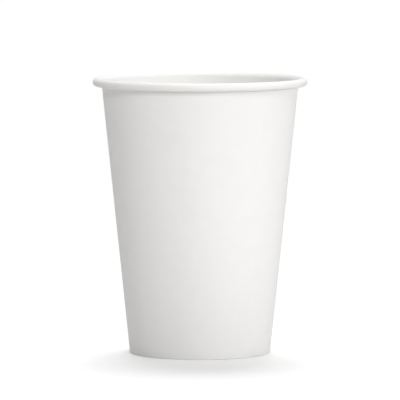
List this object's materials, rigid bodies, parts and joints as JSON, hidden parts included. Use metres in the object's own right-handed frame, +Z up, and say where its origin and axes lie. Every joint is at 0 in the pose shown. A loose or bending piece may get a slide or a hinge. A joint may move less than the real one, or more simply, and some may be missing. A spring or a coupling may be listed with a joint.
{
  "type": "paper coffee cup",
  "caption": "Plain white single-wall paper cup: tapered wall with a lapped side seam, rolled rim and folded foot that holds a recessed bottom.",
  "frame": {"origin": "on the cup's axis, at the level of the table that it stands on", "axes": "+Z up along the cup's axis towards the open rim, -Y towards the viewer of the picture, +X to the viewer's right"},
  "size_m": [0.09, 0.09, 0.1155],
  "materials": {
    "wall_board": "white uncoated paperboard outside, thin clear film coating inside",
    "bottom_board": "white paperboard, thin clear film coating on the upper face"
  },
  "bodies": {
    "root": {"side_wall": "wall_board", "bottom_disc": "bottom_board"}
  },
  "joints": []
}
